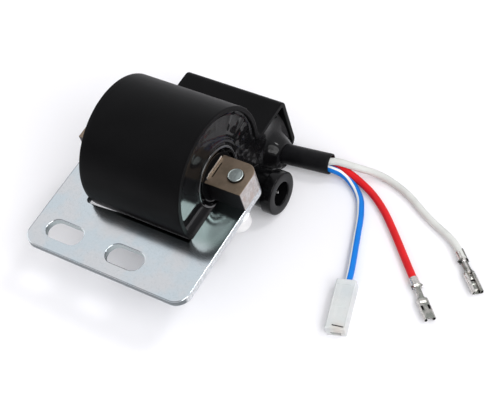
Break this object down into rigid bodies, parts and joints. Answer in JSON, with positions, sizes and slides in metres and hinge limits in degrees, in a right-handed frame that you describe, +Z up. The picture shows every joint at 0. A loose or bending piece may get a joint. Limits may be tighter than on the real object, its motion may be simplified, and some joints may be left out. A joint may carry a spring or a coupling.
{
  "type": "capacitor discharge ignition unit",
  "caption": "Potted ignition unit: round coil case with a side box, iron core riveted to a slotted steel plate, high tension socket and short leads.",
  "frame": {"origin": "midway between the two mounting slots, on the plate's underside", "axes": "+X along the coil towards the socket and the leads, +Y from the plate's front edge towards the box, +Z up through the plate"},
  "size_m": [0.139, 0.0836, 0.0514],
  "materials": {
    "zinc_plate": "bright zinc plate, slightly blurred mirror with fine scratches",
    "core_steel": "bare sheet steel, dull, with a little rust",
    "rivet_steel": "bright zinc plate",
    "black_plastic": "satin black moulding",
    "black_resin": "glossy poured resin",
    "bobbin_plastic": "black glass-filled nylon",
    "copper_wire": "enamelled copper",
    "tinned_metal": "tin plate",
    "board": "glass fibre board",
    "capacitor_case": "dipped film capacitor",
    "resistor_body": "lacquered resistor",
    "black_pvc": "soft satin sleeve",
    "blue_pvc": "blue insulation with a white stripe",
    "red_pvc": "red insulation",
    "white_pvc": "white insulation",
    "nylon": "milky natural nylon"
  },
  "bodies": {
    "root": {"mounting_plate": "zinc_plate", "core_stack": "core_steel", "core_shim": "core_steel", "core_rivets": "rivet_steel", "dome_stud": "rivet_steel", "coil_shell": "black_plastic", "resin": "black_resin", "primary_bobbin": "bobbin_plastic", "primary_winding": "copper_wire", "secondary_bobbin": "bobbin_plastic", "secondary_winding": "copper_wire", "ht_tower": "black_plastic", "ht_pin": "tinned_metal", "ht_link": "copper_wire", "circuit_board": "board", "discharge_capacitor": "capacitor_case", "thyristor": "black_plastic", "diodes": "black_plastic", "resistors": "resistor_body", "earth_link": "tinned_metal", "lead_sleeve": "black_pvc", "blue_wire": "blue_pvc", "red_wire": "red_pvc", "white_wire": "white_pvc", "blue_terminal": "tinned_metal", "red_terminal": "tinned_metal", "white_terminal": "tinned_metal", "connector_housing": "nylon"}
  },
  "joints": []
}
